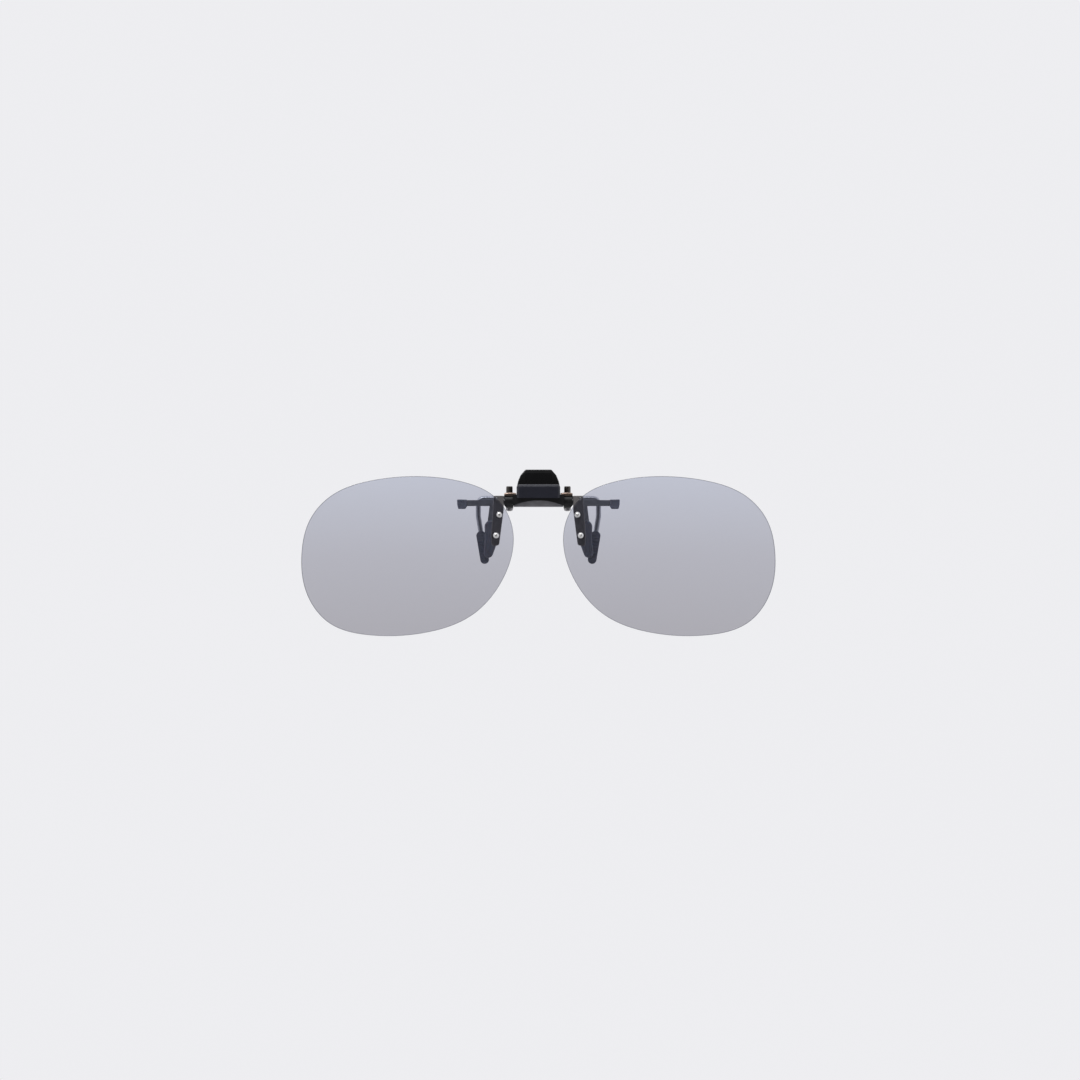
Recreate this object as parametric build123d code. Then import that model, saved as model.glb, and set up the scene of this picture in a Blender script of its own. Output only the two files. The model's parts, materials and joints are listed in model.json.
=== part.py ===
from build123d import *
import os
from math import sqrt

# Clip-on flip lenses, in the place they take when worn. All sizes are in millimetres.
# +X runs to the wearer's left, +Y from the lenses towards the wearer's spectacles, and +Z up.
# The origin lies in the middle of the mouth that grips the spectacles, level with the flip axle.
# A pair of like pieces is drawn for the wearer's left and mirrored to the right.

# --- Driving dimensions ---------------------------------------------------------------------------

EDGE_ROUND = 0.2          # broken edges of the castings

# Lenses: curved blanks, each about its own optical centre
LENS_X = 36.0
LENS_Z = -15.0
LENS_REAR_Y = -8.9        # rear surface at the optical centre
LENS_BASE_R = 200.0       # radius of the rear surface
LENS_THICK = 1.0
LENS_EDGE_ROUND = 0.2
LENS_EDGE = [             # x, z round the left lens, from its bracket down the inner side
    (10.0, -0.8), (6.8, -10.0), (10.1, -22.0), (18.5, -31.4), (31.0, -36.0), (46.0, -36.7),
    (57.5, -33.3), (63.8, -24.7), (65.0, -14.5), (62.8, -5.2), (56.2, 2.0), (46.0, 5.7), (34.0, 6.9),
    (20.0, 5.2),
]

# Lens rivets, with a clear washer between each lens and its bracket
RIVET_PLACES = {"upper": (10.8, -3.7), "lower": (11.7, -9.35)}
RIVET_R = 0.5
RIVET_HEAD_R = 0.85
RIVET_HEAD_H = 0.55
RIVET_TAIL_R = 0.75
RIVET_TAIL_H = 0.3
RIVET_SINK = 0.05
WASHER_R = 0.95
WASHER_THICK = 0.15

# Lens brackets, riveted behind the lenses and turning with the axle
BRACKET_THICK = 0.7
BRACKET_ROUND = 0.15
BRACKET_INNER_X = 9.55
BRACKET_TOP_Z = 1.6
HUB_R = 1.3
HUB_END_X = 11.2
EYELET_PLACE = (11.45, 0.85)
EYELET_R = 0.32

# Flip axle: a flat bar with round journals
AXLE_Y = -4.8
FLAT_HALF_X = 6.85
FLAT_HEIGHT = 3.0
FLAT_THICK = 0.8
JOURNAL_R = 0.9
JOURNAL_CLEARANCE = 0.04
AXLE_HALF_X = 10.8

# Chassis: saddle over the axle, clamp knuckles at its ends, ears for the lever pivot
CAVITY_R = 1.7
SADDLE_HALF_X = 5.15
SADDLE_FRONT_Y = -7.3
SADDLE_REAR_Y = -1.85
SADDLE_TOP_Z = 3.9
KNUCKLE_INNER_X = 6.95
KNUCKLE_OUTER_X = 9.45
KNUCKLE_R = 1.9
KNUCKLE_BOTTOM_Z = -1.65
CLAMP_SLOT = 0.3
APRON_HALF_X = 7.1        # the front wall, arched along its lower edge
APRON_THICK = 0.75
APRON_FOOT_Z = -1.6
ARCH_TOP_Z = 0.3
ARCH_R = 17.0
PAD_REAR_Y = -1.5         # the face that the front claw plate is riveted to
PAD_Z = (0.2, 1.6)
CHASSIS_EAR_X = (4.4, 5.15)
CHASSIS_EAR_R = 1.1

# Front cover: a cap over the saddle
COVER_HALF_X = 6.0
COVER_Z = (0.95, 4.7)
COVER_FRONT_Y = -8.0
COVER_BACK_Y = -3.4
COVER_ROUND = 0.9

# Clamp screws with their nuts, and strips that wrap over the fronts of the knuckles
SCREW_X = 8.0
SCREW_Y = -2.75
SCREW_R = 0.5
SCREW_HOLE_R = 0.56
SCREW_HEAD_R = 0.9
SCREW_HEAD_Z = (2.5, 4.25)
SCREW_SLOT = (0.3, 0.5)   # width and depth of the driver slot
STRIP_X = (6.1, 9.4)
STRIP_Y = (-6.3, -1.6)
STRIP_END_Z = 2.3         # top of the strip at its two ends, and at its crown
STRIP_CROWN_Z = 2.5
STRIP_FOOT_Z = 1.6        # how far down the front it reaches
STRIP_BEND = 0.45
NUT_R = 0.95
NUT_Z = (-2.5, -1.65)

# Front claw plate, with its soft tips and pads
CLAW_Y = (-1.5, -0.7)
CLAW_ARM_Z = (-1.2, 0.45)
CLAW_ARM_END_X = 22.0
CLAW_LEG = [(12.5, -0.4, 0.9), (13.2, -6.0, 0.9), (13.55, -13.2, 0.9)]
CLAW_RIVET_X = 5.7
CLAW_RIVET_Z = 0.9
CLAW_RIVET_R = 0.45
TIP_Y = (-1.9, -0.2)
FRONT_PAD_Y = (-1.95, -0.2)
FRONT_PAD = [(13.15, -6.9, 1.75), (13.0, -10.5, 1.8), (13.85, -14.2, 1.3)]

# Lever: sheet plate and thumb tab on the pivot pin, opened against a torsion spring
PIVOT_Y = -0.8
PIVOT_Z = 2.9
PIN_R = 0.5
PIN_HALF_X = 5.35
PIN_CLEARANCE = 0.03
PLATE_THICK = 0.8
PLATE_FRONT_Y = 0.25
PLATE_HALF_X = 4.2
PLATE_TONGUE_HALF_X = 3.2
PLATE_EAR_X = 3.45
PLATE_EAR_R = 0.95
SPRING_R = 0.85           # mean radius of the coil
SPRING_WIRE_R = 0.17
SPRING_PITCH = 0.42
SPRING_TURNS = 9.5
SPRING_LEVER_LEG = 1.2
SPRING_CHASSIS_LEG = 0.85
TAB_Z = (4.25, 8.95)
TAB_EDGE = [(5.95, 4.25), (5.65, 5.7), (4.95, 7.4), (3.6, 8.95)]   # half-width at each height
TAB_ROUND = 0.3
TAB_RIDGES = 5
DISH_SIZE = (7.6, 3.0)    # shallow recess in the front of the tab, leaning back with it
DISH_PLACE = (0.32, 6.5)
DISH_LEAN = -5

# Rear claws: one bent wire with a soft pad on each leg
WIRE_R = 0.7
WIRE_Y = 1.1
WIRE_BEND_Z = 0.95
WIRE_LEG = [(16.65, WIRE_BEND_Z), (16.65, -4.0), (15.9, -8.6), (14.9, -14.5)]
WIRE_BENDS = [1.65, 6.0, 4.0]
BARREL_R = 1.15
REAR_PAD_Y = (0.2, 2.1)
REAR_PAD = [(15.85, -9.4, 1.35), (14.9, -16.0, 1.2)]

LENS_CENTRE = Vector(LENS_X, LENS_REAR_Y + LENS_BASE_R, LENS_Z)


# --- Building blocks ------------------------------------------------------------------------------

def front_view(face, y_span):
    """Fill a face drawn in x and z through a span of y."""
    low, high = y_span
    return extrude(Plane.XZ.offset(-high) * face, amount=high - low)


def side_view(face, x_span):
    """Fill a face drawn in y and z through a span of x."""
    low, high = x_span
    return extrude(Plane.YZ.offset(low) * face, amount=high - low)


def block(x_span, y_span, z_span):
    """A box given by its span along each axis."""
    spans = (x_span, y_span, z_span)
    middle = [(low + high) / 2 for low, high in spans]
    return Pos(*middle) * Box(*[high - low for low, high in spans])


def polygon(*points):
    return make_face(Polyline(*points, close=True))


def strap(stations):
    """The outline round a row of discs (x, z, radius), each joined to the next by tangents."""
    outline = None
    for here, there in zip(stations, stations[1:]):
        discs = [(Pos(x, z) * Circle(radius)).edge() for x, z, radius in (here, there)]
        outline = make_hull(discs) if outline is None else outline + make_hull(discs)
    return outline


def along_x(radius, x_span, y, z):
    """A round bar along X."""
    return side_view(Pos(y, z) * Circle(radius), x_span)


def along_z(radius, z_span, x, y):
    """A round bar along Z."""
    low, high = z_span
    return extrude(Plane.XY.offset(low) * (Pos(x, y) * Circle(radius)), amount=high - low)


def dome(radius, height):
    """A spherical cap standing on the XY plane."""
    ball = (radius**2 + height**2) / (2 * height)
    return split(Pos(0, 0, height - ball) * Sphere(ball), bisect_by=Plane.XY)


def both_sides(shape):
    return shape + mirror(shape, about=Plane.YZ)


# --- Lenses and their fastenings --------------------------------------------------------------------

def lens_ball(offset):
    """The ball whose surface lies this far in front of the lens's rear surface."""
    return Pos(*LENS_CENTRE) * Sphere(LENS_BASE_R + offset)


def lens_layer(solid, inner, outer):
    """The part of a solid between two surfaces parallel to the lens's rear surface."""
    return (solid & lens_ball(outer)) - lens_ball(inner)


def rivet_place(x, z):
    """The lens's rear surface at x, z, with its own z out through the front of the lens."""
    reach = sqrt(LENS_BASE_R**2 - (x - LENS_CENTRE.X)**2 - (z - LENS_CENTRE.Z)**2)
    point = Vector(x, LENS_CENTRE.Y - reach, z)
    return Plane(origin=point, z_dir=point - LENS_CENTRE)


def rivet_shank(place):
    """The rivet's shank, which reaches a little way into both of its heads."""
    front, back = LENS_THICK + RIVET_SINK, WASHER_THICK + BRACKET_THICK + RIVET_SINK
    return place * (Pos(0, 0, (front - back) / 2) * Cylinder(RIVET_R, front + back))


def lens_rivet(place):
    """Domed head in front, flatter tail behind, each cut back to the curved face it sits on."""
    behind = WASHER_THICK + BRACKET_THICK
    sink = RIVET_SINK
    head = place * (Pos(0, 0, LENS_THICK - sink) * dome(RIVET_HEAD_R, RIVET_HEAD_H + sink))
    tail = place * (Pos(0, 0, sink - behind) * Rot(180, 0, 0) * dome(RIVET_TAIL_R, RIVET_TAIL_H + sink))
    return (head - lens_ball(LENS_THICK)) + rivet_shank(place) + (tail & lens_ball(-behind))


def lens_washer(place):
    disc = place * Cylinder(WASHER_R, 1.0)
    return lens_layer(disc, -WASHER_THICK, 0) - rivet_shank(place)


def lens():
    outline = make_face(Spline(*LENS_EDGE, periodic=True))
    blank = lens_layer(front_view(outline, (LENS_REAR_Y - 3, LENS_REAR_Y + 5)), 0, LENS_THICK)
    rim = blank.edges().filter_by(lambda edge: edge.length > LENS_X)
    blank = fillet(rim, LENS_EDGE_ROUND)
    for x, z in RIVET_PLACES.values():
        blank -= rivet_shank(rivet_place(x, z))
    return blank


def lens_bracket():
    inner = BRACKET_INNER_X
    outline = polygon((inner, BRACKET_TOP_Z), (12.25, BRACKET_TOP_Z), (13.0, -9.5), (12.8, -12.4),
                      (10.8, -12.0), (inner, -2.4))
    corners = outline.vertices().sort_by(Axis.Y)
    outline = fillet(corners[:2], 0.7)
    outline = fillet(outline.vertices().sort_by(Axis.Y)[-2:], 0.3)
    outline -= Pos(*EYELET_PLACE) * Circle(EYELET_R)
    front = -WASHER_THICK
    plate = lens_layer(front_view(outline, (-8, -4)), front - BRACKET_THICK, front)
    rim = plate.edges().filter_by(lambda edge: edge.center().X > inner + 0.1 and edge.length > 1)
    plate = fillet(rim, BRACKET_ROUND)
    hub_x = (inner, HUB_END_X)
    hub = along_x(HUB_R, hub_x, AXLE_Y, 0) + block(hub_x, (-6.2, AXLE_Y), (-HUB_R, HUB_R))
    bracket = plate + hub - along_x(JOURNAL_R, (inner - 1, AXLE_HALF_X), AXLE_Y, 0)
    for x, z in RIVET_PLACES.values():
        bracket -= rivet_shank(rivet_place(x, z))
    return bracket


def flip_axle():
    bar = block((-FLAT_HALF_X, FLAT_HALF_X), (AXLE_Y - FLAT_THICK / 2, AXLE_Y + FLAT_THICK / 2),
                (-FLAT_HEIGHT / 2, FLAT_HEIGHT / 2))
    bar = fillet(bar.edges().filter_by(Axis.X), 0.15)
    return bar + both_sides(along_x(JOURNAL_R, (FLAT_HALF_X, AXLE_HALF_X), AXLE_Y, 0))


# --- Chassis, cover and clamps ----------------------------------------------------------------------

def knuckle():
    """The left clamp: a split barrel round the axle's journal."""
    span = (KNUCKLE_INNER_X, KNUCKLE_OUTER_X)
    barrel = Pos(AXLE_Y, 0) * Circle(KNUCKLE_R)
    cheek = polygon((AXLE_Y, KNUCKLE_R), (PAD_REAR_Y, KNUCKLE_R), (PAD_REAR_Y, KNUCKLE_BOTTOM_Z),
                    (AXLE_Y, KNUCKLE_BOTTOM_Z))
    solid = side_view(barrel + cheek, span)
    solid = fillet(solid.faces().sort_by(Axis.X)[-1].edges(), EDGE_ROUND)
    bevel = front_view(polygon((KNUCKLE_OUTER_X, -1.0), (KNUCKLE_OUTER_X, -2.5), (8.2, -2.5)), (-8, -1))
    slot = block(span, (AXLE_Y, PAD_REAR_Y), (-CLAMP_SLOT / 2, CLAMP_SLOT / 2))
    return solid - bevel - slot


def clip_chassis():
    depth = (SADDLE_FRONT_Y, SADDLE_REAR_Y)
    saddle = block((-SADDLE_HALF_X, SADDLE_HALF_X), depth, (0, SADDLE_TOP_Z))
    saddle = fillet(saddle.faces().sort_by(Axis.Z)[-1].edges().sort_by(Axis.Y)[-1], EDGE_ROUND)
    shoulders = block((-KNUCKLE_INNER_X, KNUCKLE_INNER_X), depth, (0, KNUCKLE_R))
    pad = block((-KNUCKLE_OUTER_X, KNUCKLE_OUTER_X), (SADDLE_REAR_Y, PAD_REAR_Y), PAD_Z)
    apron = block((-APRON_HALF_X, APRON_HALF_X), (SADDLE_FRONT_Y, SADDLE_FRONT_Y + APRON_THICK),
                  (APRON_FOOT_Z, KNUCKLE_R))
    body = saddle + shoulders + pad + apron
    body -= along_x(CAVITY_R, (-KNUCKLE_INNER_X, KNUCKLE_INNER_X), AXLE_Y, 0)
    body -= front_view(Pos(0, ARCH_TOP_Z - ARCH_R) * Circle(ARCH_R), (SADDLE_FRONT_Y - 1, AXLE_Y))

    ear_z = (PIVOT_Z - CHASSIS_EAR_R, PIVOT_Z + CHASSIS_EAR_R)
    ear = block(CHASSIS_EAR_X, (SADDLE_REAR_Y, PIVOT_Y), ear_z)
    boss = along_x(CHASSIS_EAR_R, CHASSIS_EAR_X, PIVOT_Y, PIVOT_Z)
    ear += fillet(boss.edges().filter_by(GeomType.CIRCLE), EDGE_ROUND / 2)
    body += both_sides(ear + knuckle())

    bore = along_x(JOURNAL_R + JOURNAL_CLEARANCE, (KNUCKLE_INNER_X, KNUCKLE_OUTER_X), AXLE_Y, 0)
    screw_hole = along_z(SCREW_HOLE_R, (-3, 3), SCREW_X, SCREW_Y)
    body -= both_sides(bore + screw_hole)
    body -= along_x(PIN_R, (-PIN_HALF_X, PIN_HALF_X), PIVOT_Y, PIVOT_Z)
    for rivet_x in (-CLAW_RIVET_X, CLAW_RIVET_X):
        body -= claw_rivet_shank(rivet_x)
    return body


def front_cover():
    shell = block((-COVER_HALF_X, COVER_HALF_X), (COVER_FRONT_Y, COVER_BACK_Y), COVER_Z)
    front = shell.faces().sort_by(Axis.Y)[0]
    top = shell.faces().sort_by(Axis.Z)[-1]
    shell = fillet(front.edges().filter_by(Axis.Z) + top.edges(), COVER_ROUND)
    inside = block((-SADDLE_HALF_X, SADDLE_HALF_X), (SADDLE_FRONT_Y, 0), (0, SADDLE_TOP_Z))
    below = block((-COVER_HALF_X, COVER_HALF_X), (SADDLE_FRONT_Y, 0), (0, KNUCKLE_R))
    return shell - inside - below


def clamp_strip():
    """The left strip: crowned on top, and bent down over the front of the knuckle's barrel."""
    low, high = STRIP_X
    foot = [(high, STRIP_END_Z), (high, STRIP_FOOT_Z), (low, STRIP_FOOT_Z), (low, STRIP_END_Z)]
    crown = ThreePointArc(foot[-1], ((low + high) / 2, STRIP_CROWN_Z), foot[0])
    strip = front_view(make_face([crown, Polyline(*foot)]), STRIP_Y)
    front = strip.faces().sort_by(Axis.Y)[0]
    strip = fillet(front.edges().sort_by(Axis.Z)[-1], STRIP_BEND)
    strip -= along_x(KNUCKLE_R, (low - 1, high + 1), AXLE_Y, 0)
    strip -= block((low - 1, high + 1), (AXLE_Y, 0), (0, KNUCKLE_R))
    strip -= block((low - 1, APRON_HALF_X), (SADDLE_FRONT_Y, AXLE_Y), (0, KNUCKLE_R))
    return strip - along_z(SCREW_HOLE_R, (0, 4), SCREW_X, SCREW_Y)


def clamp_screw():
    head_low, head_high = SCREW_HEAD_Z
    head = along_z(SCREW_HEAD_R, SCREW_HEAD_Z, SCREW_X, SCREW_Y)
    head = fillet(head.edges().sort_by(Axis.Z)[-1], 0.25)
    width, depth = SCREW_SLOT
    slot_y = (SCREW_Y - width / 2, SCREW_Y + width / 2)
    slot = block((SCREW_X - 1, SCREW_X + 1), slot_y, (head_high - depth, head_high + 1))
    return head - slot + along_z(SCREW_R, (NUT_Z[0] - 0.1, head_low), SCREW_X, SCREW_Y)


def clamp_nut():
    nut = along_z(NUT_R, NUT_Z, SCREW_X, SCREW_Y)
    nut = fillet(nut.edges().sort_by(Axis.Z)[0], 0.3)
    return nut - along_z(SCREW_R, (NUT_Z[0] - 1, NUT_Z[1] + 1), SCREW_X, SCREW_Y)


# --- Front claws ------------------------------------------------------------------------------------

def claw_rivet_shank(rivet_x):
    shank = Pos(rivet_x, CLAW_RIVET_Z) * Circle(CLAW_RIVET_R)
    return front_view(shank, (SADDLE_REAR_Y - 0.5, CLAW_Y[1]))


def claw_plate_rivets():
    rivets = None
    for rivet_x in (-CLAW_RIVET_X, CLAW_RIVET_X):
        head = Pos(rivet_x, CLAW_Y[1], CLAW_RIVET_Z) * Rot(-90, 0, 0) * dome(0.65, 0.35)
        rivet = head + claw_rivet_shank(rivet_x)
        rivets = rivet if rivets is None else rivets + rivet
    return rivets


def claw_arm():
    """The left half of the claw plate: half the band, the side arm and the leg."""
    band_low, band_high = PAD_Z
    arm_low, arm_high = CLAW_ARM_Z
    arm = polygon((0, band_high), (10.6, band_high), (12.6, arm_high), (CLAW_ARM_END_X, arm_high),
                  (CLAW_ARM_END_X, arm_low), (11.6, arm_low), (10.4, band_low), (0, band_low))
    return front_view(arm + strap(CLAW_LEG), CLAW_Y)


def front_claw_plate():
    plate = both_sides(claw_arm())
    for rivet_x in (-CLAW_RIVET_X, CLAW_RIVET_X):
        plate -= claw_rivet_shank(rivet_x)
    return plate


def front_tip():
    outline = polygon((19.75, 0.6), (22.5, 0.65), (22.45, -0.8), (22.15, -2.0), (20.25, -2.0), (19.75, -1.3))
    tip = front_view(fillet(outline.vertices(), 0.25), TIP_Y)
    outside = tip.faces().sort_by(Axis.Y)[0]
    return fillet(outside.edges(), 0.2) - claw_arm()


def front_pad():
    pad = front_view(strap(FRONT_PAD), FRONT_PAD_Y)
    outside = pad.faces().sort_by(Axis.Y)[0]
    return fillet(outside.edges(), 0.3) - claw_arm()


# --- Lever, spring and rear claws -------------------------------------------------------------------

def pivot_pin():
    pin = along_x(PIN_R, (-PIN_HALF_X, PIN_HALF_X), PIVOT_Y, PIVOT_Z)
    return chamfer(pin.edges().filter_by(GeomType.CIRCLE), 0.1)


def torsion_spring():
    """A coil round the pin: one leg up the front of the lever plate, one up the back of the saddle."""
    length = SPRING_PITCH * SPRING_TURNS
    start = Plane(origin=(length / 2, PIVOT_Y, PIVOT_Z), x_dir=(0, 1, 0), z_dir=(-1, 0, 0))
    coil = start * Helix(SPRING_PITCH, length, SPRING_R)
    lever_leg = Line((coil @ 0) - (coil % 0) * SPRING_LEVER_LEG, coil @ 0)
    chassis_leg = Line(coil @ 1, (coil @ 1) + (coil % 1) * SPRING_CHASSIS_LEG)
    path = Wire([lever_leg.edge(), coil.edge(), chassis_leg.edge()])
    return sweep(Plane(origin=path @ 0, z_dir=path % 0) * Circle(SPRING_WIRE_R), path=path)


def plate_profile():
    """Side view of the lever plate: barrel round the wire, upright, and tongue into the thumb tab."""
    front, back = PLATE_FRONT_Y, PLATE_FRONT_Y + PLATE_THICK
    upright = polygon((front, WIRE_BEND_Z), (front, 4.2), (0.75, 6.5), (1.35, 6.5), (back, 4.1),
                      (back, WIRE_BEND_Z))
    return upright + Pos(WIRE_Y, WIRE_BEND_Z) * Circle(BARREL_R)


def lever_plate():
    plate = side_view(plate_profile(), (-PLATE_HALF_X, PLATE_HALF_X))
    for side in (-1, 1):
        inner, outer = sorted((side * PLATE_TONGUE_HALF_X, side * 7))
        plate -= block((inner, outer), (-1, 3), (TAB_Z[0], TAB_Z[1]))
    ear_z = (PIVOT_Z - PLATE_EAR_R, PIVOT_Z + PLATE_EAR_R)
    ear_x = (PLATE_EAR_X, PLATE_HALF_X)
    ear = block(ear_x, (PIVOT_Y, PLATE_FRONT_Y), ear_z) + along_x(PLATE_EAR_R, ear_x, PIVOT_Y, PIVOT_Z)
    plate += both_sides(ear)
    plate -= along_x(PIN_R + PIN_CLEARANCE, (-PLATE_HALF_X, PLATE_HALF_X), PIVOT_Y, PIVOT_Z)
    return plate - along_x(WIRE_R, (-PLATE_HALF_X, PLATE_HALF_X), WIRE_Y, WIRE_BEND_Z)


def thumb_tab():
    """The gloss moulding pressed by the thumb: dished in front, ridged behind, slotted for the tongue."""
    low, high = TAB_Z
    face_curve = ThreePointArc((-0.1, low), (0.1, 6.4), (0.75, high))
    rear_curve = ThreePointArc((1.75, low), (2.05, 6.6), (1.95, high))
    ends = [Line(face_curve @ side, rear_curve @ side) for side in (0, 1)]
    side = side_view(make_face([face_curve, rear_curve, *ends]), (-7, 7))
    outline = polygon(*TAB_EDGE, *[(-x, z) for x, z in reversed(TAB_EDGE)])
    outline = fillet(outline.vertices().group_by(Axis.Y)[-1], 0.6)
    outline = fillet(outline.vertices().filter_by(lambda corner: 5 < corner.Y < 8), 2.0)
    tab = side & front_view(outline, (-2, 4))
    tab = fillet(tab.edges().filter_by(lambda edge: edge.center().Z > low + 0.1), TAB_ROUND)
    dish = front_view(fillet(Rectangle(*DISH_SIZE).vertices(), 0.7), (-3, 0))
    tab -= Pos(0, *DISH_PLACE) * Rot(DISH_LEAN, 0, 0) * dish
    for ridge in range(TAB_RIDGES):
        place = rear_curve @ (0.24 + 0.14 * ridge)
        tab += along_x(0.2, (-3.2, 3.2), place.X, place.Y)
    return tab - side_view(plate_profile(), (-PLATE_TONGUE_HALF_X, PLATE_TONGUE_HALF_X))


def rear_claw_wire():
    left = [(x, WIRE_Y, z) for x, z in WIRE_LEG]
    right = [(-x, y, z) for x, y, z in reversed(left)]
    path = FilletPolyline(*right, *left, radius=[*reversed(WIRE_BENDS), *WIRE_BENDS])
    wire = sweep(Plane(origin=path @ 0, z_dir=path % 0) * Circle(WIRE_R), path=path)
    return wire


def rear_pad():
    pad = front_view(strap(REAR_PAD), REAR_PAD_Y)
    outside = pad.faces().sort_by(Axis.Y)[-1]
    return fillet(outside.edges(), 0.5)


# --- Every piece, written as its own file -----------------------------------------------------------

def nodes():
    wire = rear_claw_wire()
    pieces = {
        "clip_chassis": clip_chassis(),
        "front_cover": front_cover(),
        "front_claw_plate": front_claw_plate(),
        "claw_plate_rivets": claw_plate_rivets(),
        "pivot_pin": pivot_pin(),
        "torsion_spring": torsion_spring(),
        "lever_plate": lever_plate(),
        "thumb_tab": thumb_tab(),
        "rear_claw_wire": wire,
        "flip_axle": flip_axle(),
    }
    pairs = {
        "clamp_strip": clamp_strip(),
        "clamp_screw": clamp_screw(),
        "clamp_nut": clamp_nut(),
        "front_tip": front_tip(),
        "front_pad": front_pad(),
        "rear_pad": rear_pad() - wire,
        "lens_bracket": lens_bracket(),
        "lens": lens(),
    }
    for level, (x, z) in RIVET_PLACES.items():
        place = rivet_place(x, z)
        pairs[f"lens_rivet_{level}"] = lens_rivet(place)
        pairs[f"lens_washer_{level}"] = lens_washer(place)
    for name, left in pairs.items():
        pieces[f"{name}_left"] = left
        pieces[f"{name}_right"] = mirror(left, about=Plane.YZ)
    return pieces


os.makedirs("parts", exist_ok=True)
for node_name, piece in nodes().items():
    export_step(piece, f"parts/{node_name}.step")
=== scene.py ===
import json
import math

import bmesh
import bpy
import numpy as np
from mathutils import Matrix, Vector
from mathutils.geometry import delaunay_2d_cdt


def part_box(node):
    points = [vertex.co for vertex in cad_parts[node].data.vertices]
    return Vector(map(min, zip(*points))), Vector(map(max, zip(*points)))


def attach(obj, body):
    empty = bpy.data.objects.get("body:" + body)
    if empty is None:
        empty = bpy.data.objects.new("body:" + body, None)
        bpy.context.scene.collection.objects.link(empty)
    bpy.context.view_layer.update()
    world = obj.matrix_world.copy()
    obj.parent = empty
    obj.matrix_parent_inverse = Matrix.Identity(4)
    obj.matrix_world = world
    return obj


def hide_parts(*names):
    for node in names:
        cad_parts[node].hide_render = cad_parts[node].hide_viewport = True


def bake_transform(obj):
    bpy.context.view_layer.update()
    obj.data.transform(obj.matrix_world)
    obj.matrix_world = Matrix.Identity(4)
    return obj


# Clip-on flip lenses in a pale studio. Metres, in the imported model's frame:
# the lenses face -Y, +Z is up, and +X is the wearer's left.

MM = 0.001

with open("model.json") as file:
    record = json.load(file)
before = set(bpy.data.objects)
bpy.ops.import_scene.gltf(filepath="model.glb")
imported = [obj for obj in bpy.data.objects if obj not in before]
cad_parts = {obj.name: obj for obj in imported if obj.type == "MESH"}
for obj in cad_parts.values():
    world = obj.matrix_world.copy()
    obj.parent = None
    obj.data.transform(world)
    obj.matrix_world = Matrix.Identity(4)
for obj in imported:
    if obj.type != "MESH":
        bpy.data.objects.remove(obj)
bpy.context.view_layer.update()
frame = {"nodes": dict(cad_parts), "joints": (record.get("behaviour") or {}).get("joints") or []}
nodes = frame["nodes"]
scene = bpy.context.scene


# --- Shader building blocks -------------------------------------------------------------------------

def new_tree(name):
    material = bpy.data.materials.new(name)
    material.use_nodes = True
    material.node_tree.nodes.clear()
    return material, material.node_tree


def add(tree, kind, inputs=None, **settings):
    """A shader node; an input is given a plain value, or the socket that drives it."""
    node = tree.nodes.new("ShaderNode" + kind)
    for key, value in settings.items():
        setattr(node, key, value)
    for key, value in (inputs or {}).items():
        if isinstance(value, bpy.types.NodeSocket):
            tree.links.new(value, node.inputs[key])
        else:
            node.inputs[key].default_value = value
    return node


def calculate(tree, operation, first, second=0.0, clamp=False):
    node = add(tree, "Math", {0: first, 1: second}, operation=operation, use_clamp=clamp)
    return node.outputs[0]


def place(tree, stretch=(1, 1, 1)):
    """The point on the piece in the model's frame, scaled along each axis."""
    spot = add(tree, "TexCoord").outputs["Object"]
    return add(tree, "Mapping", {"Vector": spot, "Scale": stretch}).outputs[0]


def noise(tree, size, detail=3.0, stretch=(1, 1, 1)):
    """Noise from 0 to 1 whose blotches are about this size in metres."""
    node = add(tree, "TexNoise", {"Vector": place(tree, stretch), "Scale": 1 / size, "Detail": detail})
    return node.outputs["Fac"]


def between(tree, share, low, high, spread=(0.3, 0.7)):
    """Maps a share within spread onto the range low to high."""
    limits = {"From Min": spread[0], "From Max": spread[1], "To Min": low, "To Max": high}
    return add(tree, "MapRange", {"Value": share, **limits}).outputs[0]


def tint(tree, share, low, high):
    """A colour between low and high by a share from 0 to 1."""
    node = add(tree, "Mix", {"Factor": share}, data_type="RGBA")
    for socket, colour in ((node.inputs[6], low), (node.inputs[7], high)):
        if isinstance(colour, bpy.types.NodeSocket):
            tree.links.new(colour, socket)
        else:
            socket.default_value = (*colour, 1)
    return node.outputs[2]


EDGE_TURN = (0.86, 0.985)       # how far the rounded normal turns at an edge and on a face, as cosines


def edges(tree, reach):
    """1 along the piece's sharp edges, 0 on its faces."""
    bent = add(tree, "Bevel", {"Radius": reach}, samples=4).outputs[0]
    flat = add(tree, "NewGeometry").outputs["Normal"]
    alike = add(tree, "VectorMath", {0: bent, 1: flat}, operation="DOT_PRODUCT").outputs["Value"]
    return between(tree, alike, 1.0, 0.0, EDGE_TURN)


def ramp(tree, share, stops):
    """A colour by a share from 0 to 1, from (share, colour) stops in rising order."""
    node = add(tree, "ValToRGB", {0: share})
    marks = node.color_ramp.elements
    for mark, (position, colour) in zip(marks, (stops[0], stops[-1])):
        mark.position, mark.color = position, (*colour, 1)
    for position, colour in stops[1:-1]:
        marks.new(position).color = (*colour, 1)
    return node.outputs[0]


def bump(tree, height, depth):
    return add(tree, "Bump", {"Height": height, "Strength": 1.0, "Distance": depth}).outputs[0]


def surface(tree, **inputs):
    """Ends the tree in a Principled shader; names are given with _ for a space."""
    shader = add(tree, "BsdfPrincipled", {key.replace("_", " "): value for key, value in inputs.items()})
    add(tree, "OutputMaterial", {"Surface": shader.outputs[0]})


# --- Finishes, one for each of the record's material slots ------------------------------------------

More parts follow.
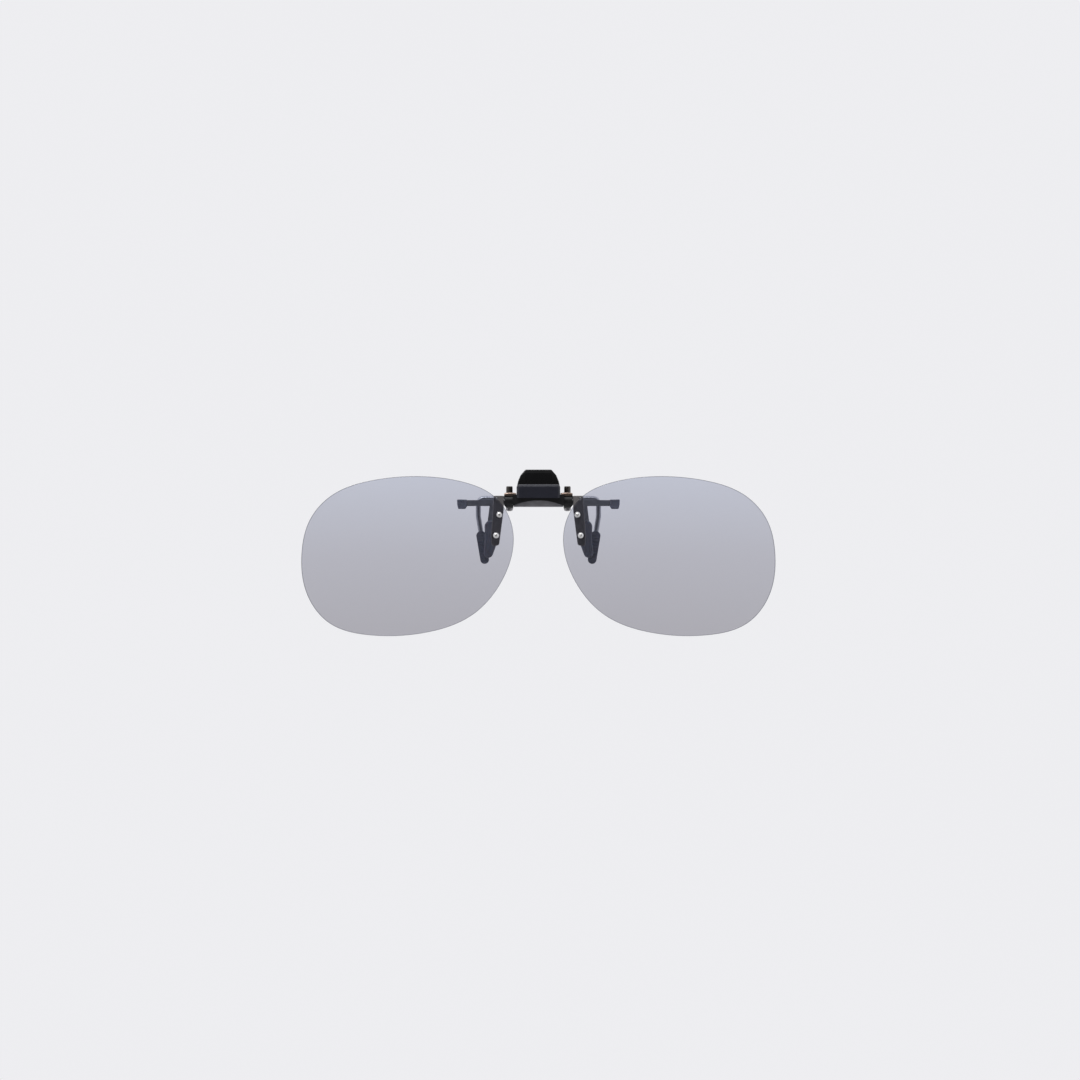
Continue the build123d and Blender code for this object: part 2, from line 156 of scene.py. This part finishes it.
def gloss_moulding(name, colour, rough, orange_peel, shine):
    """Polished black plastic: faint orange peel, handling haze, and dulled edges."""
    material, tree = new_tree(name)
    worn = edges(tree, 0.12 * MM)
    haze = between(tree, noise(tree, 3.5 * MM, 4), rough, rough + 0.1)
    lighter = [channel * 2.2 + 0.004 for channel in colour]
    scuffed = calculate(tree, "MULTIPLY", worn, noise(tree, 0.5 * MM))
    surface(
        tree,
        Base_Color=tint(tree, scuffed, colour, lighter),
        Roughness=calculate(tree, "ADD", haze, calculate(tree, "MULTIPLY", scuffed, 0.25)),
        Specular_IOR_Level=shine,
        Normal=bump(tree, noise(tree, 0.7 * MM, 2), orange_peel),
    )
    return material


def satin_paint(name, colour, rough, worn_colour, shine):
    """Baked satin paint: fine powder grain, soft mottling, rubbed thin on its edges."""
    material, tree = new_tree(name)
    worn = calculate(tree, "MULTIPLY", edges(tree, 0.15 * MM), noise(tree, 0.35 * MM, 4))
    mottled = tint(tree, noise(tree, 2.5 * MM), colour, [channel * 1.25 for channel in colour])
    grain = noise(tree, 0.09 * MM, 2)
    surface(
        tree,
        Base_Color=tint(tree, calculate(tree, "MULTIPLY", worn, 0.6), mottled, worn_colour),
        Roughness=between(tree, noise(tree, 1.6 * MM, 4), rough - 0.05, rough + 0.07),
        Specular_IOR_Level=shine,
        Normal=bump(tree, grain, 0.006 * MM),
    )
    return material


def metal(name, colour, rough, brushed=(1, 1, 1), worn_colour=None, depth=0.004 * MM):
    """Plated or bare metal: brushing or tumbling marks, uneven sheen and rubbed edges."""
    material, tree = new_tree(name)
    marks = noise(tree, 0.12 * MM, 4, brushed)
    stain = noise(tree, 1.8 * MM, 4)
    plain = tint(tree, between(tree, stain, 0.0, 1.0), [channel * 0.82 for channel in colour], colour)
    if worn_colour is not None:
        # rubbed edges; on the bronze strip their pale grey colour is also a painted highlight
        worn = calculate(tree, "MULTIPLY", edges(tree, 0.12 * MM), noise(tree, 0.3 * MM, 4))
        plain = tint(tree, worn, plain, worn_colour)
    surface(
        tree,
        Base_Color=plain,
        Metallic=1.0,
        Roughness=between(tree, marks, rough - 0.06, rough + 0.08),
        Normal=bump(tree, marks, depth),
    )
    return material


def silicone(name, colour, rough):
    """Moulded silicone: matt skin, slight inner glow, and a little lint."""
    material, tree = new_tree(name)
    dust = between(tree, noise(tree, 0.16 * MM, 6), 0.0, 1.0, (0.66, 0.74))
    mottled = tint(tree, noise(tree, 1.4 * MM), colour, [channel * 1.3 for channel in colour])
    surface(
        tree,
        Base_Color=tint(tree, calculate(tree, "MULTIPLY", dust, 0.35), mottled, (0.30, 0.31, 0.33)),
        Roughness=between(tree, noise(tree, 0.6 * MM, 4), rough - 0.06, rough + 0.1),
        Specular_IOR_Level=0.4,
        Subsurface_Weight=0.12,
        Subsurface_Scale=0.6 * MM,
        Normal=bump(tree, noise(tree, 0.12 * MM, 3), 0.008 * MM),
    )
    return material


def see_through(tree, tinted, mirror, rough):
    """Ends the tree in a clear sheet's shader: the tint of one surface, under a glassy reflection."""
    clear = add(tree, "BsdfTransparent", {"Color": tinted}).outputs[0]
    shine = add(tree, "BsdfGlossy", {"Color": (1, 1, 1, 1), "Roughness": rough}).outputs[0]
    facing = add(tree, "LayerWeight", {"Blend": 0.5}).outputs["Facing"]
    glancing = calculate(tree, "MULTIPLY", calculate(tree, "POWER", facing, 5.0), 1 - mirror)
    share = calculate(tree, "ADD", glancing, mirror, clamp=True)
    mixed = add(tree, "MixShader", {0: share, 1: clear, 2: shine}).outputs[0]
    add(tree, "OutputMaterial", {"Surface": mixed})


FILM_TINTS_WITH_PAINTED_REFLECTION = (                  # by share of the lens's height, as seen through one of its surfaces; lighter and bluer towards the top as a painted reflection
    (0.05, (0.722, 0.718, 0.742)), (0.5, (0.756, 0.757, 0.790)), (1.0, (0.812, 0.826, 0.876)),
)
FILM_SMEAR = (0.70, 0.71, 0.73)
# painted shade: the lens's edge faces are tinted dark, standing in for the dark line that refraction draws
# round a lens's edge
RIM_PAINTED_SHADE = (0.38, 0.39, 0.42)


def polarised_lens(name):
    """Light grey polarising layer in a clear lens; its tint is painted a shade bluer and lighter at the top
    as a painted reflection.
    """
    material, tree = new_tree(name)
    low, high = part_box("lens_left")
    height = add(tree, "SeparateXYZ", {0: place(tree)}).outputs["Z"]
    raised = between(tree, height, 0.0, 1.0, (low.z, high.z))
    # painted reflection: the tint ramps lighter and bluer up the lens's height
    tint_with_painted_reflection = ramp(tree, raised, FILM_TINTS_WITH_PAINTED_REFLECTION)
    smear = between(tree, noise(tree, 9 * MM, 2), 0.985, 1.0)
    smudged_tint_with_painted_reflection = tint(tree, smear, FILM_SMEAR, tint_with_painted_reflection)
    # painted shade along the lens's edge faces, where the normal turns away from Y
    turned = add(tree, "SeparateXYZ", {0: add(tree, "TexCoord").outputs["Normal"]}).outputs["Y"]
    edge_painted_shade = between(tree, calculate(tree, "ABSOLUTE", turned), 1.0, 0.0, (0.75, 0.985))
    see_through(tree, tint(tree, edge_painted_shade, smudged_tint_with_painted_reflection, RIM_PAINTED_SHADE), 0.04, 0.03)
    return material


def clear_washer(name):
    """Clear nylon, a little milky."""
    material, tree = new_tree(name)
    milky = tint(tree, noise(tree, 0.5 * MM), (0.80, 0.81, 0.80), (0.90, 0.91, 0.90))
    see_through(tree, milky, 0.06, 0.12)
    return material


LONG_MARKS = (0.06, 1, 1)       # brushed along X
UPRIGHT_MARKS = (1, 1, 0.06)    # brushed along Z
NO_GRAIN = (1, 1, 1)

CLEAR_FINISHES = {"lens_polarised": polarised_lens, "washer_clear": clear_washer}
MOULDED_FINISHES = {            # maker, then colour, roughness and what else that maker takes
    "tab_black": (gloss_moulding, (0.006, 0.006, 0.0065), 0.14, 0.004 * MM, 0.40),
    "chassis_black": (satin_paint, (0.008, 0.008, 0.009), 0.40, (0.045, 0.045, 0.05), 0.38),
    "cover_navy": (satin_paint, (0.020, 0.021, 0.031), 0.36, (0.045, 0.046, 0.055), 0.36),
    "pad_rubber": (silicone, (0.155, 0.163, 0.200), 0.50),
}
METAL_FINISHES = {              # colour, roughness, direction of the marks, rubbed edges, depth of the marks
    "bracket_gunmetal": ((0.30, 0.285, 0.285), 0.50, LONG_MARKS, (0.34, 0.325, 0.32)),
    "axle_grey": ((0.58, 0.57, 0.61), 0.40, LONG_MARKS, (0.60, 0.59, 0.61), 0.002 * MM),
    # the bronze strip's rubbed-edge colour is pale and grey: rubbed metal, and also a painted neutral
    # highlight along its edges
    "strip_bronze": ((0.33, 0.245, 0.20), 0.24, LONG_MARKS, (0.60, 0.54, 0.51)),
    "screw_black": ((0.105, 0.095, 0.088), 0.38, NO_GRAIN, (0.22, 0.205, 0.19)),
    "nut_gunmetal": ((0.40, 0.39, 0.40), 0.36, NO_GRAIN, (0.55, 0.54, 0.54)),
    "rivet_bright": ((0.86, 0.85, 0.84), 0.26, NO_GRAIN),
    "claw_steel": ((0.49, 0.50, 0.54), 0.38, LONG_MARKS, (0.54, 0.54, 0.57)),
    "wire_dark": ((0.49, 0.50, 0.54), 0.34, UPRIGHT_MARKS, (0.54, 0.54, 0.57)),
    "pin_steel": ((0.58, 0.57, 0.56), 0.24, LONG_MARKS),
    "spring_steel": ((0.50, 0.49, 0.47), 0.28),
}
FINISHES = {name: make(name) for name, make in CLEAR_FINISHES.items()}
FINISHES |= {name: make(name, *values) for name, (make, *values) in MOULDED_FINISHES.items()}
FINISHES |= {name: metal(name, *values) for name, values in METAL_FINISHES.items()}


def dress_cad_nodes():
    for node in nodes.values():
        for slot in node.material_slots:
            slot.material = FINISHES[slot.material.name]


# --- Moulded silicone pads and tips -----------------------------------------------------------------

OUTLINE_STEP = 0.14 * MM        # spacing of points round a moulding
FACE_STEP = 0.22 * MM           # spacing of points across its faces
GROOVE_PITCH = 0.85 * MM
GROOVE_DEPTH = 0.11 * MM
GROOVE_FADE = 0.6 * MM          # the grooves run out this near the outline
PANEL_DEPTH = 0.10 * MM
PANEL_SLOPE = 0.25 * MM         # width of the slope round the sunk panel
SAME_LEVEL = 0.01 * MM
CLEAR_OF_OUTLINE = 0.6 * FACE_STEP


def face_outline(node, at_back):
    """The node's outline on its flat front or back face, as evenly spaced x, z points."""
    low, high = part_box(node)
    level = high.y if at_back else low.y
    points = {(round(v.co.x, 6), round(v.co.z, 6)) for v in nodes[node].data.vertices
              if abs(v.co.y - level) < SAME_LEVEL}
    points = np.array(sorted(points))
    middle = (points.min(0) + points.max(0)) / 2
    turn = np.arctan2(*(points - middle).T[::-1])
    ring = points[np.argsort(turn)]
    ring = np.vstack([ring, ring[:1]])
    run = np.concatenate([[0], np.cumsum(np.linalg.norm(np.diff(ring, axis=0), axis=1))])
    at = np.linspace(0, run[-1], int(run[-1] / OUTLINE_STEP), endpoint=False)
    return np.column_stack([np.interp(at, run, ring[:, axis]) for axis in (0, 1)])


def shrink(outline, inset):
    """The outline drawn in by a distance, along its smoothed normals."""
    ahead, behind = np.roll(outline, -2, 0), np.roll(outline, 2, 0)
    along = ahead - behind
    along /= np.linalg.norm(along, axis=1)[:, None]
    return outline + inset * np.column_stack([-along[:, 1], along[:, 0]])


def inside_points(outline):
    """A grid of points that lie well within an outline."""
    low, high = outline.min(0), outline.max(0)
    xs, zs = [np.arange(low[axis], high[axis], FACE_STEP) for axis in (0, 1)]
    grid = np.array([(x, z) for x in xs for z in zs])
    nearest = np.linalg.norm(grid[:, None] - outline[None], axis=2)
    ahead = np.roll(outline, -1, 0) - outline
    closest = nearest.argmin(1)
    gap = grid - outline[closest]
    within = ahead[closest, 0] * gap[:, 1] - ahead[closest, 1] * gap[:, 0] > 0
    return grid[within & (nearest.min(1) > CLEAR_OF_OUTLINE)]


def moulding(name, outline, section, relief):
    """A moulding from its outline and a section of (inset, y) pairs from the front face to the back.
    relief gives the front and back faces' own depth at points x, z."""
    count = len(outline)
    rings = [shrink(outline, inset) for inset, _ in section]
    verts = [(x, y, z) for ring, (_, y) in zip(rings, section) for x, z in ring]
    faces = []
    for row in range(len(section) - 1):
        for index in range(count):
            here, there = row * count + index, row * count + (index + 1) % count
            faces.append((here, there, there + count, here + count))
    for ring, start, (_, y), depth in ((rings[0], 0, section[0], relief[0]),
                                       (rings[-1], (len(section) - 1) * count, section[-1], relief[1])):
        middle = inside_points(ring)
        border = [(i, (i + 1) % count) for i in range(count)]
        flat = delaunay_2d_cdt([Vector(p) for p in (*ring, *middle)], border, [], 1, 1e-9)
        first = len(verts)
        verts += [(x, y + depth(x, z), z) for x, z in middle]
        index_of = [start + i if i < count else first + i - count for i in range(count + len(middle))]
        for face in flat[2]:
            corners = [index_of[flat[3][corner][0]] for corner in face]
            faces.append(corners[::-1] if start else corners)
    mesh = bpy.data.meshes.new(name)
    mesh.from_pydata(verts, [], faces)
    mesh.validate()
    mesh.polygons.foreach_set("use_smooth", [True] * len(mesh.polygons))
    made = bpy.data.objects.new(name, mesh)
    scene.collection.objects.link(made)
    return made


def rounded_section(front_y, back_y, front_round, back_round, steps=6):
    """(inset, y) pairs down a side wall, rounded into the faces at both ends."""
    turns = [math.pi / 2 * step / steps for step in range(steps + 1)]
    front = [(front_round * (1 - math.sin(a)), front_y + front_round * (1 - math.cos(a))) for a in turns]
    back = [(back_round * (1 - math.cos(a)), back_y - back_round * (1 - math.sin(a))) for a in turns]
    return front + back


def outward(mesh):
    """Turns every face of a closed mesh to look outwards."""
    shell = bmesh.new()
    shell.from_mesh(mesh)
    bmesh.ops.recalc_face_normals(shell, faces=shell.faces)
    shell.to_mesh(mesh)
    shell.free()


def cut_socket(made, node):
    """Cuts the claw that a moulding is pushed onto out of it."""
    cutter = made.modifiers.new("socket", "BOOLEAN")
    cutter.operation, cutter.solver, cutter.object = "DIFFERENCE", "EXACT", nodes[node]
    cut = bpy.data.meshes.new_from_object(made.evaluated_get(bpy.context.evaluated_depsgraph_get()))
    made.modifiers.clear()
    made.data = cut


PADS = {                        # claw, body, grips at its back, rounding outside and at the grip, panel inset
    "front_pad": ("front_claw_plate", "clip_base", True, 0.45 * MM, 0.15 * MM, 0.65 * MM),
    "front_tip": ("front_claw_plate", "clip_base", True, 0.20 * MM, 0.10 * MM, 0.45 * MM),
    "rear_pad": ("rear_claw_wire", "rear_lever", False, 0.50 * MM, 0.12 * MM, 0.60 * MM),
}


def moulded_pad(node, claw, body, grips_at_back, round_outside, round_grip, panel_inset):
    """A silicone piece on one claw: grooved where it grips, with a sunk panel on its outside."""
    low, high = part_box(node)
    outline = face_outline(node, grips_at_back)
    panel = shrink(outline, panel_inset)
    centre = panel.mean(0)

    def grooves(x, z):
        wave = 0.5 - 0.5 * math.cos(2 * math.pi * (z - centre[1]) / GROOVE_PITCH)
        edge = np.linalg.norm(outline - (x, z), axis=1).min()
        return GROOVE_DEPTH * wave * min(1, edge / GROOVE_FADE)

    def sunk(x, z):
        edge = np.linalg.norm(outline - (x, z), axis=1).min()
        share = min(1, max(0, (edge - panel_inset) / PANEL_SLOPE))
        return PANEL_DEPTH * share * share * (3 - 2 * share)

    if grips_at_back:
        section = rounded_section(low.y, high.y, round_outside, round_grip)
        relief = (sunk, lambda x, z: -grooves(x, z))
    else:
        section = rounded_section(low.y, high.y, round_grip, round_outside)
        relief = (grooves, lambda x, z: -sunk(x, z))
    made = moulding(node + "_moulded", outline, section, relief)
    outward(made.data)
    cut_socket(made, claw)
    made.data.materials.clear()
    made.data.materials.append(FINISHES["pad_rubber"])
    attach(made, body)
    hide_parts(node)


# --- Torsion spring ---------------------------------------------------------------------------------

SPRING_R = 0.85 * MM            # mean radius of the coil
SPRING_WIRE_R = 0.17 * MM
SPRING_PITCH = 0.42 * MM
SPRING_TURNS = 9.5
SPRING_LEVER_LEG = 1.2 * MM
SPRING_CHASSIS_LEG = 0.85 * MM
TURN_STEPS = 28
WIRE_SIDES = 12


def spring_line():
    """Points from the tip of the lever's leg, round the coil, to the tip of the chassis's leg."""
    pivot = Vector(next(j["pos_m"] for j in frame["joints"] if j["name"] == "clip_open"))
    length = SPRING_PITCH * SPRING_TURNS
    steps = int(SPRING_TURNS * TURN_STEPS)
    coil = []
    for step in range(steps + 1):
        turn = -2 * math.pi * SPRING_TURNS * step / steps
        along = length / 2 - length * step / steps
        coil.append(pivot + Vector((along, SPRING_R * math.cos(turn), SPRING_R * math.sin(turn))))
    return [coil[0] + Vector((0, 0, SPRING_LEVER_LEG)), *coil, coil[-1] + Vector((0, 0, SPRING_CHASSIS_LEG))]


def tube(name, line, radius, sides):
    """A round wire along a line of points, closed by a flat at each end."""
    verts, faces = [], []
    lean = Vector((1, 0, 0))
    for index, point in enumerate(line):
        before, after = line[max(index - 1, 0)], line[min(index + 1, len(line) - 1)]
        along = (after - before).normalized()
        lean = (lean - along * lean.dot(along)).normalized()
        other = along.cross(lean)
        for side in range(sides):
            a = 2 * math.pi * side / sides
            verts.append(point + radius * (math.cos(a) * lean + math.sin(a) * other))
    for row in range(len(line) - 1):
        for side in range(sides):
            here, there = row * sides + side, row * sides + (side + 1) % sides
            faces.append((here, there, there + sides, here + sides))
    faces.append(tuple(reversed(range(sides))))
    faces.append(tuple(range(len(verts) - sides, len(verts))))
    mesh = bpy.data.meshes.new(name)
    mesh.from_pydata(verts, [], faces)
    mesh.polygons.foreach_set("use_smooth", [len(face) == 4 for face in faces])
    made = bpy.data.objects.new(name, mesh)
    scene.collection.objects.link(made)
    return made


def wound_spring():
    """The spring, whose coil twists between its leg on the chassis and its leg on the lever."""
    line = spring_line()
    made = tube("torsion_spring_wound", line, SPRING_WIRE_R, WIRE_SIDES)
    outward(made.data)
    made.data.materials.append(FINISHES["spring_steel"])
    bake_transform(made)
    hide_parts("torsion_spring")


# --- Studio -----------------------------------------------------------------------------------------

PALE = (0.858, 0.858, 0.882, 1)
FLOOR_Z = -0.6
WALL_RADIUS = 1.8
WALL_TOP = 2.6
COVE_RADIUS = 0.9
COVE_STEPS = 12


def lathe(name, section, sides=96):
    """A surface turned about Z from (radius, height) pairs, the first on the axis."""
    verts = [(0, 0, section[0][1])]
    for radius, height in section[1:]:
        for side in range(sides):
            a = 2 * math.pi * side / sides
            verts.append((radius * math.cos(a), radius * math.sin(a), height))
    faces = [(0, 1 + side, 1 + (side + 1) % sides) for side in range(sides)]
    for row in range(len(section) - 2):
        for side in range(sides):
            here, there = 1 + row * sides + side, 1 + row * sides + (side + 1) % sides
            faces.append((here, there, there + sides, here + sides))
    mesh = bpy.data.meshes.new(name)
    mesh.from_pydata(verts, [], faces)
    mesh.polygons.foreach_set("use_smooth", [True] * len(faces))
    made = bpy.data.objects.new(name, mesh)
    scene.collection.objects.link(made)
    return made


def cove():
    """Pale floor that curves up into a round wall and a domed top, evenly lit."""
    turns = [math.pi / 2 * step / COVE_STEPS for step in range(COVE_STEPS + 1)]
    section = [(0, FLOOR_Z)]
    section += [(WALL_RADIUS - COVE_RADIUS * (1 - math.sin(a)), FLOOR_Z + COVE_RADIUS * (1 - math.cos(a)))
                for a in turns]
    section += [(WALL_RADIUS * math.cos(a) + 1e-4, WALL_TOP + WALL_RADIUS * math.sin(a)) for a in turns]
    made = lathe("cove", section)
    material, tree = new_tree("cove_pale")
    glow = tint(tree, noise(tree, 0.5, 2), PALE[:3], [channel * 0.985 for channel in PALE[:3]])
    lit = add(tree, "Emission", {"Color": glow, "Strength": 1.0}).outputs[0]
    add(tree, "OutputMaterial", {"Surface": lit})
    made.data.materials.append(material)
    for kind in ("diffuse", "glossy", "shadow", "volume_scatter"):
        setattr(made, "visible_" + kind, False)


OPENING_RISE = math.radians(7)
OPENING = (0, -math.cos(OPENING_RISE), math.sin(OPENING_RISE))
TENT_LEVELS = ((0, 0.13), (22, 0.17), (36, 0.36), (50, 0.72), (66, 0.95), (180, 0.9))   # by angle off it
TENT_UNDER_OVER = (0.6, 1.1)    # the tent is dimmer below than above
TENT_BLUE = 1.03                # its blue against its red and green


def tent_light():
    """Light from a white tent all round, open and dark only where the photographer stands."""
    world = bpy.data.worlds.new("tent")
    scene.world = world
    world.use_nodes = True
    tree = world.node_tree
    tree.nodes.clear()
    towards = add(tree, "TexCoord").outputs["Generated"]
    ahead = add(tree, "VectorMath", {0: towards, 1: OPENING}, operation="DOT_PRODUCT").outputs["Value"]
    stops = [((1 - math.cos(math.radians(angle))) / 2, (level, level, level * TENT_BLUE))
             for angle, level in TENT_LEVELS]
    round_opening = ramp(tree, between(tree, ahead, 0.0, 1.0, (1.0, -1.0)), stops)
    height = add(tree, "SeparateXYZ", {0: towards}).outputs["Z"]
    above = between(tree, height, *TENT_UNDER_OVER, (-0.9, 0.9))
    glow = add(tree, "Background", {"Color": round_opening, "Strength": above})
    add(tree, "OutputWorld", {"Surface": glow.outputs[0]})


KEY_PLACE = (-0.25, -0.45, 0.85)
KEY_TARGET = (0, 0, -0.01)
KEY_SIZE = (0.5, 0.35)
KEY_WATTS = 3.0


def softbox(name, at, target, size, watts):
    lamp = bpy.data.lights.new(name, "AREA")
    lamp.shape, lamp.size, lamp.size_y, lamp.energy = "RECTANGLE", *size, watts
    made = bpy.data.objects.new(name, lamp)
    made.location = at
    made.rotation_euler = (Vector(target) - Vector(at)).to_track_quat("-Z", "Y").to_euler()
    scene.collection.objects.link(made)


CAMERA_LENS = 100.0
SENSOR = 36.0
VIEW_WIDTH = 0.2967             # width that the view takes in at the lenses
VIEW_CENTRE_X = 0.00044
VIEW_CENTRE_DROP = 0.01058      # how far the view's middle is below the flip axle
VIEW_CLIP = (0.05, 20)


def camera():
    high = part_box("lens_left")[1]
    distance = VIEW_WIDTH * CAMERA_LENS / SENSOR
    data = bpy.data.cameras.new("camera")
    data.lens, data.sensor_width = CAMERA_LENS, SENSOR
    data.clip_start, data.clip_end = VIEW_CLIP
    made = bpy.data.objects.new("camera", data)
    made.location = (VIEW_CENTRE_X, high.y - distance, -VIEW_CENTRE_DROP)
    made.rotation_euler = (math.pi / 2, 0, 0)
    scene.collection.objects.link(made)
    scene.camera = made


# --- Everything put together ------------------------------------------------------------------------

dress_cad_nodes()
for hand in ("left", "right"):
    for pad, shape in PADS.items():
        moulded_pad(f"{pad}_{hand}", *shape)
wound_spring()

scene.view_settings.view_transform = "Standard"
cove()
tent_light()
softbox("key", KEY_PLACE, KEY_TARGET, KEY_SIZE, KEY_WATTS)
camera()
